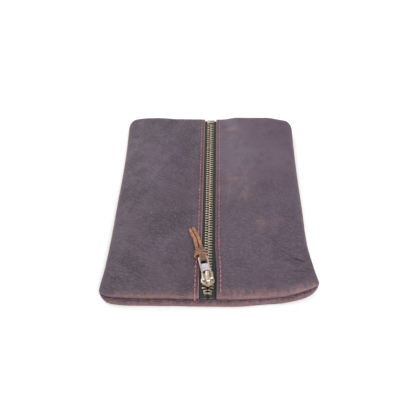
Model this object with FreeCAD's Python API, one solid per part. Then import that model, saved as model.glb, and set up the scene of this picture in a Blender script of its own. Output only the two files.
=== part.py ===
"""Zippered leather pouch: one leather wrap closed by a metal zip down the middle of its front.

Millimetres. The pouch lies on its back. +X runs across it, +Y runs along the zip from the near end, where
the slider is when the zip is shut, to the far end, and +Z is up. The origin is on the table under the
middle of the pouch.
"""

import FreeCAD, Part  # isort: skip
import math
import os

from FreeCAD import Vector

# ---- leather wrap -------------------------------------------------------------------------------------
LENGTH = 200.0  # near seam to far seam
MID_HALF_WIDTH = 77.6  # half the width where the sides pull in
NEAR_FLARE = 4.9  # how much wider each side is beside the near seam
NEAR_FLARE_AT = -85.0
NEAR_FLARE_SPAN = 24.0
FAR_FLARE = 1.2
LEATHER = 1.9  # thickness of the hide
ZIP_TOP = 12.5  # height of the leather's outer face along the zip
FLAT_HALF = 15.0  # the leather lies flat on the zip tapes this far from the middle
BULGE_X = 40.0  # where each front flap is highest
BULGE = 4.3  # how much higher than the zip that is, half way along
SIDE_RADIUS = 5.6  # the fold down each side
END_ROUND = 3.4  # length over which the ends round off
END_DROP = 1.4  # how much the ends round off, above and below
ALLOWANCE = 8.0  # depth of the turned-in seam allowances at each end
GROOVE_Z = 5.9  # the groove between the two rolled lips of each end seam
GROOVE_HIGH = 0.9
GROOVE_DEEP = 2.8
GROOVE_HALF = 74.0

# ---- zip slot, tapes and stitching --------------------------------------------------------------------
GAP_HALF = 5.25  # half the gap between the two cut edges of the front
GAP_NEAR_HALF = 6.55  # the same beside the slider, where the chain is spread
GAP_SPREAD_FROM, GAP_SPREAD_TO = -52.0, -86.0
TAPE = 0.6  # thickness of a zip tape
TAPE_OUTER = 14.5
TAPE_END = LENGTH / 2 - 1.5
TAPE_TOP = ZIP_TOP - LEATHER
TAPE_MID = TAPE_TOP - TAPE / 2
STITCH_IN = 2.95  # stitch line to cut edge
STITCH_PITCH = 4.2
STITCH_LONG = 3.1
THREAD_R = 0.38
STITCH_SINK = 0.1  # how far the thread's middle is pulled in below the hide's face
STITCH_END = 95.0
SEAM_STITCH_END = 71.4

# ---- chain --------------------------------------------------------------------------------------------
PITCH = 2.54  # between teeth on one side
TOOTH_THICK = 1.16  # along the zip
TOOTH_HIGH = 2.7
TOOTH_HEAD = 2.45  # from the bead's centre to the tip of the head
TOOTH_HEEL = 0.95  # from the bead's centre to the outer end
BEAD_X = 1.95  # the bead's centre, from the middle, where the chain is meshed
BEAD_R = 0.7
# how the right-hand bead bends at the near end: (y, x) down from the top stop, through the mouth, to the mesh
BEAD_BENDS = [
    (-95.9, 1.7),
    (-94.6, 2.45),
    (-92.1, 3.4),
    (-90.0, 3.55),
    (-88.8, 3.25),
    (-87.0, 3.2),
    (-80.6, 1.95),
]
FIRST_TOOTH = -94.6
STAGGER_FROM, STAGGER_TO = -91.0, -82.0  # the left teeth move half a pitch on between these
STOP_FAR, STOP_NEAR = -95.9, -97.5
BOTTOM_STOP = (93.4, 97.4)
STOP_HALF = 2.9
BOTTOM_STOP_HALF = 3.2
STOP_HIGH = 3.0

# ---- slider -------------------------------------------------------------------------------------------
CHANNEL_HALF_HIGH = 1.5
PLATE = 1.1
SLIDER_FAR, SLIDER_NEAR = -78.1, -88.4  # the plates' square length, before the pointed nose
NOSE = -91.6
SLIDER_HALF = 5.0
SLIDER_TAIL_HALF = 4.35
FLANGE = 0.6
TAPE_SLOT_HALF = 0.5
POST_HALF = 0.5  # the post between the two plates, which parts the chain
POST_FAR, POST_NEAR = -84.9, -90.4
PLATE_TOP = TAPE_MID + CHANNEL_HALF_HIGH + PLATE
SLIDER_YAW = 3.0  # degrees that the slider has settled off the line of the zip
YAW_ABOUT = -88.5

# ---- cap, locking pin and pull ------------------------------------------------------------------------
CAP_HALF = 1.6
CAP_FAR_HALF = 1.3
CAP_NEAR, CAP_FAR = -89.3, -79.4
CAP_WALL = 0.8
BAR_R = 0.75  # the pull's round crossbar under the cap
BAR_Y = -85.3
BAR_Z = PLATE_TOP + 0.2 + BAR_R
PIN_STRIP = 0.4
PIN_LIFT = 0.8
PIN_HALF = 0.4
PIN_CLEAR = 0.9  # from the strip's near end to the cap's wall: room for the round shoulder above
PIN_X, PIN_Y = -0.85, -82.0
PULL_YAW = 13.0  # degrees that the pull lies off the line of the zip
PULL_PITCH = 5.5  # degrees that it slopes up to where the thong lifts it
PULL_THICK = 1.4
PULL_HALF = 3.8
YOKE_INSIDE = 2.55
EYE_R = 0.85
YOKE_END, BAND_END, WINDOW_END, PULL_END = 6.9, 12.8, 17.8, 19.2
WINDOW_HALF = 2.5

# ---- thong: along the pull from its crossbar, across it to the left, and up from it -------------------
THONG_BAR = (WINDOW_END + PULL_END) / 2
LOOP_HOLE_R = 1.05  # round the pull's end bar, just clear of its corners
LOOP_R = 2.85
LOOP_HALF = 2.3  # half the strap's width
LOOP_END = 27.0
LOOP_HALF_HIGH = 1.9
KEEPER = (21.0, 26.2)
KEEPER_LEFT, KEEPER_RIGHT = 6.2, -3.4
KEEPER_SLACK = 4.4  # the keeper bulges clear of the loop to here on the left
KEEPER_HALF_HIGH = 2.8
TAIL_WIDE, TAIL_THICK = 2.4, 2.0
TAIL_FROM, TAIL_LIFT = 26.4, -0.9
TAIL_PITCH = -3.6
# the two tails' routes in their own plane, from where they leave the keeper
TAIL_ROUTES = {
    "thong_tail_left": [(-1.5, 2.75), (10.6, 2.3), (22.6, 4.3)],
    "thong_tail_right": [(-1.5, -0.6), (11.4, -0.85), (23.6, 1.3)],
}
ROUND_SHARE = 0.45  # an arc's tangent length, as a share of the shorter run beside it

OUT = "parts"


def smooth(t):
    """0 up to t = 0, 1 from t = 1, and an S curve between them."""
    t = min(1.0, max(0.0, t))
    return t * t * (3 - 2 * t)


def box(x0, x1, y0, y1, z0, z1):
    return Part.makeBox(x1 - x0, y1 - y0, z1 - z0, Vector(x0, y0, z0))


def prism(points, z0, z1):
    """The polygon of (x, y) points, from z0 to z1."""
    outline = [Vector(x, y, z0) for x, y in points]
    face = Part.Face(Part.makePolygon(outline + outline[:1]))
    return face.extrude(Vector(0, 0, z1 - z0))


def fused(solids):
    """The solids as one."""
    return solids[0].multiFuse(solids[1:]).removeSplitter() if len(solids) > 1 else solids[0]


def mirrored(shape):
    return shape.mirror(Vector(0, 0, 0), Vector(1, 0, 0))


def capsule(a, b, r):
    """A round bar from a to b with domed ends, the domes beyond the two points."""
    along = b - a
    bar = Part.makeCylinder(r, along.Length, a, along)
    return fused([bar, Part.makeSphere(r, a), Part.makeSphere(r, b)])


def save(name, solids):
    """Writes one node, and says what is in it."""
    solids = solids if isinstance(solids, list) else [solids]
    solids = [s for shape in solids for s in shape.Solids]
    bad = [i for i, s in enumerate(solids) if not s.isValid() or s.Volume <= 0]
    shape = solids[0] if len(solids) == 1 else Part.makeCompound(solids)
    shape.exportStep(os.path.join(OUT, name + ".step"))
    volume = sum(s.Volume for s in solids)
    print(f"{name}: {len(solids)} solid(s), {volume:.2f} mm3{', BAD ' + str(bad) if bad else ''}")


# ---- leather wrap -------------------------------------------------------------------------------------
def half_width(y):
    """Half the pouch's width: pulled in at the middle and flared beside the seams."""
    near = NEAR_FLARE * math.exp(-(((y - NEAR_FLARE_AT) / NEAR_FLARE_SPAN) ** 2))
    return MID_HALF_WIDTH + near + FAR_FLARE * smooth(y / (LENGTH / 2))


def bulge(y):
    """How far the front flaps stand above the zip."""
    return BULGE * (1 - smooth((abs(y) - 30) / 66))


def section(y, inset, drop=0.0, pinch=0.0):
    """The wrap's outline across the pouch at y, inset inwards, and rounded off by drop and pinch."""
    w = half_width(y) - inset - pinch
    r = SIDE_RADIUS - inset
    low, side_top = inset + drop, inset + 2 * r - drop
    zip_top = ZIP_TOP - inset - drop
    crest = zip_top + bulge(y)

    def at(x, z):
        return Vector(x, y, z)

    def flap(sign):
        curve = Part.BSplineCurve()
        points = [at(sign * (w - r), side_top), at(sign * BULGE_X, crest), at(sign * FLAT_HALF, zip_top)]
        inward = Vector(-sign, 0, 0)
        curve.interpolate(Points=points, InitialTangent=inward, FinalTangent=inward)
        return curve.toShape()

    def fold(sign):
        middle = at(sign * w, (low + side_top) / 2)
        return Part.Arc(at(sign * (w - r), low), middle, at(sign * (w - r), side_top)).toShape()

    bottom = Part.LineSegment(at(r - w, low), at(w - r, low)).toShape()
    top = Part.LineSegment(at(FLAT_HALF, zip_top), at(-FLAT_HALF, zip_top)).toShape()
    edges = [bottom, fold(1), flap(1), top, flap(-1), fold(-1)]
    return Part.Wire(Part.__sortEdges__(edges))


def leather_body():
    """The wrap, with its hollow, the zip's slot and the pocket that the tape ends lie in."""
    end = LENGTH / 2
    spine = [-96.6, -90, -80, -66, -45, 0, 45, 70, 86, 96.6]
    outer = [section(-end, 0, END_DROP, END_ROUND)]
    outer += [section(y, 0) for y in spine]
    outer += [section(end, 0, END_DROP, END_ROUND)]
    shell = Part.makeLoft(outer, True, False)
    inside = end - ALLOWANCE
    inner_spine = [-inside, -84, -72, -45, 0, 45, 72, inside]
    hollow = Part.makeLoft([section(y, LEATHER) for y in inner_spine], True, False)
    floor = box(-100, 100, -end - 5, end + 5, 0, 40)
    reach = end + 2
    slot_side = [(GAP_HALF, reach), (GAP_HALF, GAP_SPREAD_FROM)]
    steps = 6
    for i in range(1, steps):
        y = GAP_SPREAD_FROM + (GAP_SPREAD_TO - GAP_SPREAD_FROM) * i / steps
        slot_side.append((gap_half(y), y))
    slot_side += [(GAP_NEAR_HALF, GAP_SPREAD_TO), (GAP_NEAR_HALF, -reach)]
    under_chain = TAPE_MID - STOP_HIGH / 2 - 0.25
    slot = prism(slot_side + [(-x, y) for x, y in reversed(slot_side)], under_chain, 40)
    wide, long = TAPE_OUTER + 0.3, TAPE_END + 0.2
    pocket = box(-wide, wide, -long, long, TAPE_TOP - TAPE, TAPE_TOP)
    low = GROOVE_Z - GROOVE_HIGH / 2
    grooves = [
        box(-GROOVE_HALF, GROOVE_HALF, y - GROOVE_DEEP, y + GROOVE_DEEP, low, low + GROOVE_HIGH)
        for y in (-end, end)
    ]
    body = shell.common(floor).cut(hollow)
    return body.cut(slot).cut(pocket).cut(grooves[0]).cut(grooves[1])


def gap_half(y):
    """Half the gap between the cut edges."""
    t = (GAP_SPREAD_FROM - y) / (GAP_SPREAD_FROM - GAP_SPREAD_TO)
    return GAP_HALF + (GAP_NEAR_HALF - GAP_HALF) * smooth(t)


# ---- tapes and chain ----------------------------------------------------------------------------------
def bead_x(y):
    """The bead's distance from the middle: close at the top stops, spread in the slider, then meshed."""
    if y <= BEAD_BENDS[0][0]:
        return BEAD_BENDS[0][1]
    for (y0, x0), (y1, x1) in zip(BEAD_BENDS, BEAD_BENDS[1:]):
        if y <= y1:
            return x0 + (x1 - x0) * (y - y0) / (y1 - y0)
    return BEAD_X


def bead_points():
    """Points down the right-hand bead."""
    bends = [y for y, _ in BEAD_BENDS]
    return [Vector(bead_x(y), y, TAPE_MID) for y in [-TAPE_END] + bends + [TAPE_END]]


def zip_tape():
    """The right-hand tape: a flat web with the bead along its inner edge."""
    points = bead_points()
    bars = [Part.makeCylinder(BEAD_R, (b - a).Length, a, b - a) for a, b in zip(points, points[1:])]
    knees = [Part.makeSphere(BEAD_R, p) for p in points[1:-1]]
    inner = [(p.x + 0.2, p.y) for p in points]
    outline = inner + [(TAPE_OUTER, TAPE_END), (TAPE_OUTER, -TAPE_END)]
    web = prism(outline, TAPE_MID - TAPE / 2, TAPE_MID + TAPE / 2)
    return fused([web] + bars + knees)


def tooth():
    """One right-hand tooth round the bead at the origin: a head that meshes, two legs on the bead."""
    half, high = TOOTH_THICK / 2, TOOTH_HIGH / 2
    clear = 0.02
    outline = [
        (TOOTH_HEEL, -half),
        (TOOTH_HEEL, half),
        (-TOOTH_HEAD + 0.5, half),
        (-TOOTH_HEAD, half - 0.25),
        (-TOOTH_HEAD, -half + 0.25),
        (-TOOTH_HEAD + 0.5, -half),
    ]
    body = prism(outline, -high, high)
    slim = 0.45  # the head is lower than the legs
    for z0, z1 in ((high - slim, high + 1), (-high - 1, -high + slim)):
        body = body.cut(box(-TOOTH_HEAD - 1, -TOOTH_HEAD + 0.7, -2, 2, z0, z1))
    bead = Part.makeCylinder(BEAD_R + clear, 4, Vector(0, -2, 0), Vector(0, 1, 0))
    web = box(0, TOOTH_HEEL + 1, -2, 2, -TAPE / 2 - clear, TAPE / 2 + clear)
    return body.cut(bead).cut(web)


def teeth(side):
    """All the teeth of one side: 1 is the right, -1 the left, whose teeth mesh half a pitch on."""
    one = tooth()
    placed = []
    base = FIRST_TOOTH
    while base < BOTTOM_STOP[0] - TOOTH_THICK - PITCH / 2:
        stagger = smooth((base - STAGGER_FROM) / (STAGGER_TO - STAGGER_FROM)) * PITCH / 2
        y = base if side > 0 else base + stagger
        reach = 0.7
        slope = (bead_x(y + reach) - bead_x(y - reach)) / (2 * reach)
        copy = one.copy()
        copy.rotate(Vector(0, 0, 0), Vector(0, 0, 1), -math.degrees(math.atan(slope)))
        copy.translate(Vector(bead_x(y), y, TAPE_MID))
        placed.append(copy if side > 0 else mirrored(copy))
        base += PITCH
    return placed


def clamped(x0, x1, y0, y1, beads):
    """A metal stop squeezed on the beads at the given places, which fit its holes."""
    block = box(x0, x1, y0, y1, TAPE_MID - STOP_HIGH / 2, TAPE_MID + STOP_HIGH / 2)
    for x in beads:
        hole = Part.makeCylinder(BEAD_R + 0.02, 20, Vector(x, (y0 + y1) / 2 - 10, TAPE_MID), Vector(0, 1, 0))
        half = TAPE / 2 + 0.02
        side = 1 if x > 0 else -1
        edges = sorted((x, side * 10))
        web = box(edges[0], edges[1], y0 - 1, y1 + 1, TAPE_MID - half, TAPE_MID + half)
        block = block.cut(hole).cut(web)
    return block


def stops():
    """The top stops, one on each tape at the near end, and the bottom stop across both at the far end."""
    right = clamped(0.15, STOP_HALF, STOP_NEAR, STOP_FAR, [bead_x(STOP_FAR)])
    bottom = clamped(-BOTTOM_STOP_HALF, BOTTOM_STOP_HALF, *BOTTOM_STOP, [-BEAD_X, BEAD_X])
    return right, mirrored(right), bottom


# ---- stitching ----------------------------------------------------------------------------------------
def stitch_rows():
    """The right-hand rows: the needle thread's stitches on the hide, the bobbin thread's under the tape."""
    needle, bobbin = [], []
    count = int(2 * STITCH_END / STITCH_PITCH) + 1
    first = -(count - 1) * STITCH_PITCH / 2
    for i in range(count):
        y = first + i * STITCH_PITCH
        ends = []
        for end in (y - STITCH_LONG / 2, y + STITCH_LONG / 2):
            ends.append(Vector(gap_half(end) + STITCH_IN, end, 0))
        up, down = Vector(0, 0, ZIP_TOP - STITCH_SINK), Vector(0, 0, TAPE_TOP - TAPE - THREAD_R - 0.02)
        bar = capsule(ends[0] + up, ends[1] + up, THREAD_R)
        legs = [
            Part.makeCylinder(THREAD_R * 0.8, up.z - TAPE_MID, e + Vector(0, 0, TAPE_MID))
            for e in ends
        ]
        needle.append(fused([bar] + legs))
        bobbin.append(capsule(ends[0] + down, ends[1] + down, THREAD_R))
    return needle, bobbin


def seam_row(sign):
    """The thread of an end seam, which shows only deep in the groove between the lips."""
    count = int(2 * SEAM_STITCH_END / STITCH_PITCH) + 1
    first = -(count - 1) * STITCH_PITCH / 2
    y = sign * (LENGTH / 2 - GROOVE_DEEP + THREAD_R + 0.03)
    row = []
    for i in range(count):
        x = first + i * STITCH_PITCH
        a, b = Vector(x - STITCH_LONG / 2, y, GROOVE_Z), Vector(x + STITCH_LONG / 2, y, GROOVE_Z)
        row.append(capsule(a, b, THREAD_R))
    return row


# ---- slider -------------------------------------------------------------------------------------------
def slider_outline(inset=0.0):
    """The slider seen from above: nearly parallel sides, shoulders and a nose towards the near end."""
    right = [
        (0, NOSE + inset),
        (1.5, NOSE + 0.7 + inset),
        (3.6, SLIDER_NEAR - 1.0 + inset),
        (SLIDER_HALF - inset, SLIDER_NEAR + 0.4),
        (SLIDER_HALF - inset, SLIDER_NEAR + 2.6),
        (SLIDER_TAIL_HALF - inset, SLIDER_NEAR + 5.0),
        (SLIDER_TAIL_HALF - inset, SLIDER_FAR - 1.0),
        (SLIDER_TAIL_HALF - 1.0 - inset, SLIDER_FAR),
    ]
    return right + [(-x, y) for x, y in reversed(right[1:])]


def settled(shape):
    """Turns a piece of the slider by the little that it has settled off the line of the zip."""
    turned = shape.copy()
    turned.rotate(Vector(0, YAW_ABOUT, 0), Vector(0, 0, 1), SLIDER_YAW)
    return turned


def slider_body():
    """Two plates joined by the post that parts the chain, with flanges that hold the teeth in."""
    low, high = TAPE_MID - CHANNEL_HALF_HIGH, TAPE_MID + CHANNEL_HALF_HIGH
    bottom = prism(slider_outline(), low - PLATE, low)
    top = prism(slider_outline(), high, PLATE_TOP)
    channel = [
        (SLIDER_HALF + 1, NOSE - 1),
        (SLIDER_HALF + 1, SLIDER_NEAR + 0.4),
        (SLIDER_HALF - FLANGE, SLIDER_NEAR + 0.4),
        (SLIDER_HALF - FLANGE, SLIDER_NEAR + 2.6),
        (SLIDER_TAIL_HALF - FLANGE, SLIDER_NEAR + 5.0),
        (SLIDER_TAIL_HALF - FLANGE, SLIDER_FAR + 1),
    ]
    channel += [(-x, y) for x, y in reversed(channel)]
    walls = prism(slider_outline(), low, high).cut(prism(channel, low - 1, high + 1))
    slot = (TAPE_MID - TAPE_SLOT_HALF, TAPE_MID + TAPE_SLOT_HALF)
    walls = walls.cut(box(-9, 9, NOSE - 2, SLIDER_FAR + 2, *slot))
    post = [(0, POST_FAR), (POST_HALF, POST_FAR - 1.6), (POST_HALF, POST_NEAR + 1.2), (0, POST_NEAR)]
    post = prism(post + [(-POST_HALF, POST_NEAR + 1.2), (-POST_HALF, POST_FAR - 1.6)], low, high)
    hole = box(PIN_X - 0.6, PIN_X + 0.6, PIN_Y - 0.6, PIN_Y + 0.6, high - 1, PLATE_TOP + 1)
    return settled(fused([bottom, top, post] + walls.Solids).cut(hole))


def cap_inside():
    """The height of the cap's ceiling, which leaves the locking pin its lift."""
    return BAR_Z + BAR_R + 0.1 + PIN_STRIP + PIN_LIFT + 0.1


def arch(inset):
    """The cap's side view as a face at x = 0: two legs and a top, with rounded shoulders."""
    near, far = Vector(0, CAP_NEAR + inset, 0), Vector(0, CAP_FAR - inset, 0)
    top = cap_inside() + CAP_WALL - inset
    corner = 1.6 - inset * 0.6
    slope = corner * (1 - math.sqrt(0.5))

    def at(y, z):
        return Vector(0, y, z)

    edges = [
        Part.LineSegment(at(near.y, PLATE_TOP), at(near.y, top - corner)),
        Part.Arc(at(near.y, top - corner), at(near.y + slope, top - slope), at(near.y + corner, top)),
        Part.LineSegment(at(near.y + corner, top), at(far.y - corner, top)),
        Part.Arc(at(far.y - corner, top), at(far.y - slope, top - slope), at(far.y, top - corner)),
        Part.LineSegment(at(far.y, top - corner), at(far.y, PLATE_TOP)),
        Part.LineSegment(at(far.y, PLATE_TOP), at(near.y, PLATE_TOP)),
    ]
    return Part.Face(Part.Wire([e.toShape() for e in edges]))


def slider_cap():
    """The cap on the slider, which keeps the pull's crossbar and the locking pin. It tapers to the far end."""
    wide = 3.0
    solids = []
    for inset in (0, CAP_WALL):
        face = arch(inset)
        face.translate(Vector(-wide, 0, 0))
        solids.append(face.extrude(Vector(2 * wide, 0, 0)))
    plan = [(CAP_HALF, CAP_NEAR - 1), (CAP_HALF, BAR_Y + 1), (CAP_FAR_HALF, CAP_FAR + 1)]
    plan = prism(plan + [(-x, y) for x, y in reversed(plan)], PLATE_TOP - 1, 30)
    return settled(solids[0].cut(solids[1]).common(plan))


def locking_pin():
    """A sprung strip over the crossbar whose end drops through the top plate between two teeth."""
    low = BAR_Z + BAR_R + 0.1
    foot = TAPE_MID + TOOTH_HIGH / 2 - 0.6
    near = CAP_NEAR + CAP_WALL + PIN_CLEAR
    strip = box(-1.1, 0.9, near, PIN_Y + PIN_HALF, low, low + PIN_STRIP)
    prong = box(PIN_X - 0.35, PIN_X + 0.35, PIN_Y - PIN_HALF, PIN_Y + PIN_HALF, foot, low + PIN_STRIP)
    return settled(fused([strip, prong]))


# ---- pull and thong -----------------------------------------------------------------------------------
def in_pull_plane(shape):
    """Moves a shape from the pull's own frame, along +X from the crossbar, to where the pull lies."""
    placement = FreeCAD.Placement(
        Vector(0, BAR_Y, BAR_Z),
        FreeCAD.Rotation(Vector(0, 0, 1), 90 + PULL_YAW) * FreeCAD.Rotation(Vector(0, 1, 0), -PULL_PITCH),
    )
    moved = shape.copy()
    moved.Placement = placement.multiply(moved.Placement)
    return moved


def pull_tab():
    """The pull: a yoke round the cap with the crossbar, a plain band, and a window for the thong."""
    half = PULL_THICK / 2
    corner = 0.9
    right = [(0.0, PULL_HALF), (PULL_END - corner, PULL_HALF), (PULL_END, PULL_HALF - corner)]
    plate = prism(right + [(x, -y) for x, y in reversed(right)], -half, half)
    yoke = [(-2.0, YOKE_INSIDE), (YOKE_END - corner, YOKE_INSIDE), (YOKE_END, YOKE_INSIDE - corner)]
    plate = plate.cut(prism(yoke + [(x, -y) for x, y in reversed(yoke)], -2, 2))
    plate = plate.cut(box(BAND_END, WINDOW_END, -WINDOW_HALF, WINDOW_HALF, -2, 2))
    eyes = [
        Part.makeCylinder(EYE_R, PULL_HALF - YOKE_INSIDE, Vector(0, y, 0), Vector(0, 1, 0))
        for y in (YOKE_INSIDE, -PULL_HALF)
    ]
    bar = Part.makeCylinder(BAR_R, 2 * YOKE_INSIDE + 0.4, Vector(0, -YOKE_INSIDE - 0.2, 0), Vector(0, 1, 0))
    return in_pull_plane(fused([plate, bar] + eyes))


def thong_loop():
    """The strap through the window and round the pull's end bar, its two runs lying together beyond it."""
    bar = Vector(THONG_BAR, 0, 0)
    across = Vector(0, 1, 0)
    turn = Part.makeCylinder(LOOP_R, 2 * LOOP_HALF, bar - across * LOOP_HALF, across)
    runs = box(THONG_BAR, LOOP_END, -LOOP_HALF, LOOP_HALF, -LOOP_HALF_HIGH, LOOP_HALF_HIGH)
    hole = Part.makeCylinder(LOOP_HOLE_R, 12, bar - across * 6, across)
    return in_pull_plane(fused([turn, runs]).cut(hole))


def thong_keeper():
    """The band wrapped round the loop's two runs, which stands clear of them on its left."""
    high = KEEPER_HALF_HIGH
    band = box(*KEEPER, KEEPER_RIGHT, KEEPER_LEFT, -high, high)
    along = [e for e in band.Edges if abs(e.tangentAt(0).x) > 0.9]
    band = band.makeFillet(1.2, along)
    inside = box(KEEPER[0] - 1, KEEPER[1] + 1, -LOOP_HALF, KEEPER_SLACK, -LOOP_HALF_HIGH, LOOP_HALF_HIGH)
    return in_pull_plane(band.cut(inside))


def tail(name):
    """One tail of the thong: straight runs joined by tangent arcs, as a plain flat strip."""
    points = [Vector(*p, 0) for p in TAIL_ROUTES[name]]
    edges, start, length = [], points[0], 0.0
    for before, corner, after in zip(points, points[1:], points[2:]):
        back, on = before - corner, after - corner
        turn = math.pi - back.getAngle(on)
        reach = ROUND_SHARE * min(back.Length, on.Length)
        radius = reach / math.tan(turn / 2)
        back.normalize()
        on.normalize()
        a, b = corner + back * reach, corner + on * reach
        middle = corner + (back + on).normalize() * (radius / math.cos(turn / 2) - radius)
        edges += [Part.LineSegment(start, a).toShape(), Part.Arc(a, middle, b).toShape()]
        length += (a - start).Length + radius * turn
        start = b
        print(f"{name}: radius {radius:.1f} mm")
    edges.append(Part.LineSegment(start, points[-1]).toShape())
    length += (points[-1] - start).Length
    ahead = (points[1] - points[0]).normalize()
    aside = Vector(-ahead.y, ahead.x, 0) * (TAIL_WIDE / 2)
    up = Vector(0, 0, TAIL_THICK / 2)
    corners = [points[0] + i * aside + j * up for i, j in ((1, 1), (-1, 1), (-1, -1), (1, -1), (1, 1))]
    bar = Part.Wire(edges).makePipeShell([Part.makePolygon(corners)], True, False)
    share = bar.Volume / (TAIL_WIDE * TAIL_THICK * length)
    print(f"{name}: {length:.1f} mm, volume {share:.3f} of section times length")
    tilt = FreeCAD.Rotation(Vector(0, 1, 0), PULL_PITCH - TAIL_PITCH)
    bar.Placement = FreeCAD.Placement(Vector(TAIL_FROM, 0, TAIL_LIFT), tilt)
    return in_pull_plane(bar)


def main():
    os.makedirs(OUT, exist_ok=True)
    save("leather_body", leather_body())
    tape = zip_tape()
    save("zip_tape_right", tape)
    save("zip_tape_left", mirrored(tape))
    save("zip_teeth_right", teeth(1))
    save("zip_teeth_left", teeth(-1))
    right_stop, left_stop, bottom_stop = stops()
    save("top_stop_right", right_stop)
    save("top_stop_left", left_stop)
    save("bottom_stop", bottom_stop)
    needle, bobbin = stitch_rows()
    save("needle_thread_right", needle)
    save("needle_thread_left", [mirrored(s) for s in needle])
    save("bobbin_thread_right", bobbin)
    save("bobbin_thread_left", [mirrored(s) for s in bobbin])
    save("near_seam_thread", seam_row(-1))
    save("far_seam_thread", seam_row(1))
    save("slider_body", slider_body())
    save("slider_cap", slider_cap())
    save("locking_pin", locking_pin())
    save("pull_tab", pull_tab())
    save("thong_loop", thong_loop())
    save("thong_keeper", thong_keeper())
    for name in TAIL_ROUTES:
        save(name, tail(name))


main()
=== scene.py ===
"""The looks of a zippered leather pouch: a waxed leather wrap with turned end seams, and a brass zip.

The scene is in metres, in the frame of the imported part: +X across the pouch, +Y along the zip from the
near end to the far end, +Z up, with the pouch lying on its back at z = 0. The sizes below and all the
shape functions are in millimetres, and mesh_object turns them into metres.
"""

import math

import bmesh
import bpy
import numpy as np
from mathutils import Matrix, Vector


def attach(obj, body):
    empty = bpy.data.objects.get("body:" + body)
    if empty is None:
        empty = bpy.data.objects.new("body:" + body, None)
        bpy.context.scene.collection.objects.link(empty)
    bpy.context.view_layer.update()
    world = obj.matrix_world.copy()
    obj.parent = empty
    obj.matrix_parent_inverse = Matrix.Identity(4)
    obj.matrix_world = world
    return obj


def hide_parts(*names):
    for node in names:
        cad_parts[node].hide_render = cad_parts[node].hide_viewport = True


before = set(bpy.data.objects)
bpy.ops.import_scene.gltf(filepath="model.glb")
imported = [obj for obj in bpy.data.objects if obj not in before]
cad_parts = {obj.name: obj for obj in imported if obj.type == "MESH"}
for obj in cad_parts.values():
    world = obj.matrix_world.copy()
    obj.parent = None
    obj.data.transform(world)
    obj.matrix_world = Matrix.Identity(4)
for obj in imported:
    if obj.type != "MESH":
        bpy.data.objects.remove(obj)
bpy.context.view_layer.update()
MM = 0.001

# ---- sizes, in millimetres, that repeat the CAD part's ------------------------------------------------
LEATHER = 1.9
ZIP_TOP = 12.5
GAP_HALF, GAP_NEAR_HALF = 5.25, 6.55
GAP_SPREAD_FROM, GAP_SPREAD_TO = -52.0, -86.0
TAPE_MID = 10.3
STITCH_IN, STITCH_PITCH, STITCH_LONG = 2.95, 4.2, 3.1
STITCH_SHOWN = 2.75  # how much of a needle stitch shows between its holes
NEEDLE_R, BOBBIN_R, SEAM_R = 0.46, 0.34, 0.3  # half the width of each kind of stitch
BEAD_X = 1.95
# how the right-hand bead bends at the near end: (y, x) from the top stop, through the slider, to the mesh
BEAD_BENDS = [
    (-95.9, 1.7),
    (-94.6, 2.45),
    (-92.1, 3.4),
    (-90.0, 3.55),
    (-88.8, 3.25),
    (-87.0, 3.2),
    (-80.6, 1.95),
]
PULL_YAW, PULL_PITCH = 13.0, 5.5
BAR_Y, BAR_Z = -85.3, 13.85  # the crossbar that the pull turns on
TAPE, TAPE_OUTER, TAPE_END = 0.6, 14.5, 98.5
BEAD_R = 0.7
THONG_BAR = 18.5  # the pull's end bar, along the pull
LOOP_MID_R, LOOP_HALF, LOOP_END = 1.95, 2.3, 27.0
KEEPER_U = (21.0, 26.2)
TAIL_FROM, TAIL_LIFT, TAIL_PITCH = 26.4, -0.9, -3.6
TAIL_ROUTES = {
    "thong_tail_left": [(-2.6, 2.75), (4, 2.5), (10.6, 2.4), (16.8, 3.2), (22.6, 4.3)],
    "thong_tail_right": [(-2.6, -0.6), (4, -0.75), (11.4, -0.72), (17.6, 0.2), (23.6, 1.3)],
}

# ---- the leather's own shape, in millimetres ----------------------------------------------------------
# half widths at the side folds as (y, width), for the left side (-1) and the right side (1)
SIDES = {
    -1: [
        (-100, 80.9), (-90, 81.0), (-76, 79.6), (-50, 78.2), (-10, 77.5), (40, 76.7),
        (80, 77.5), (100, 78.4),
    ],
    1: [
        (-100, 81.6), (-87, 83.4), (-72, 81.5), (-52, 78.6), (-10, 77.6), (40, 76.9),
        (80, 77.2), (100, 77.8),
    ],
}
FOLD_Z = 5.7  # the height of the side folds and of the groove between the lips
CREST_X = 40.0  # where each flap is highest
CREST = {-1: 4.1, 1: 3.6}  # how far the left and right flaps stand above the zip
NEAR_Y, FAR_Y = -99.5, 99.6  # the two ends, before their corners are rounded
RECESS = 3.6  # how much farther back the near end is at the right corner
LIP = 2.7  # how far back each end lip rolls
GROOVE = 4.2  # how deep the groove between the lips goes
NEAR_CORNER = {-1: (22.0, 6.0), 1: (32.0, 13.0)}  # how far each near corner's curve reaches across and along
FAR_CORNER = (7.0, 7.0)
LOWER_LIP_REACH = 2.3  # how much nearer the lower lip of the near end comes than the upper one
EAR_LIFT = 2.4  # how far the near right corner curls up off the table
EAR_OPENING = 2.4  # how far its upper lip stands open
STITCH_COLUMN = 10  # which column of a flap lies on the stitch line
ROWS = 320  # stations between the two end lips
ROLL = 15  # points round each lip
# the raw edge beside the zip, left and right: how wide it is and how far it drops
BEVEL, BEVEL_DEEP = {-1: 0.75, 1: 0.35}, {-1: 0.85, 1: 0.35}


def smooth(t):
    """An S-shaped step: 0 below 0 and 1 above 1."""
    t = np.clip(t, 0.0, 1.0)
    return t * t * (3 - 2 * t)


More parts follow.
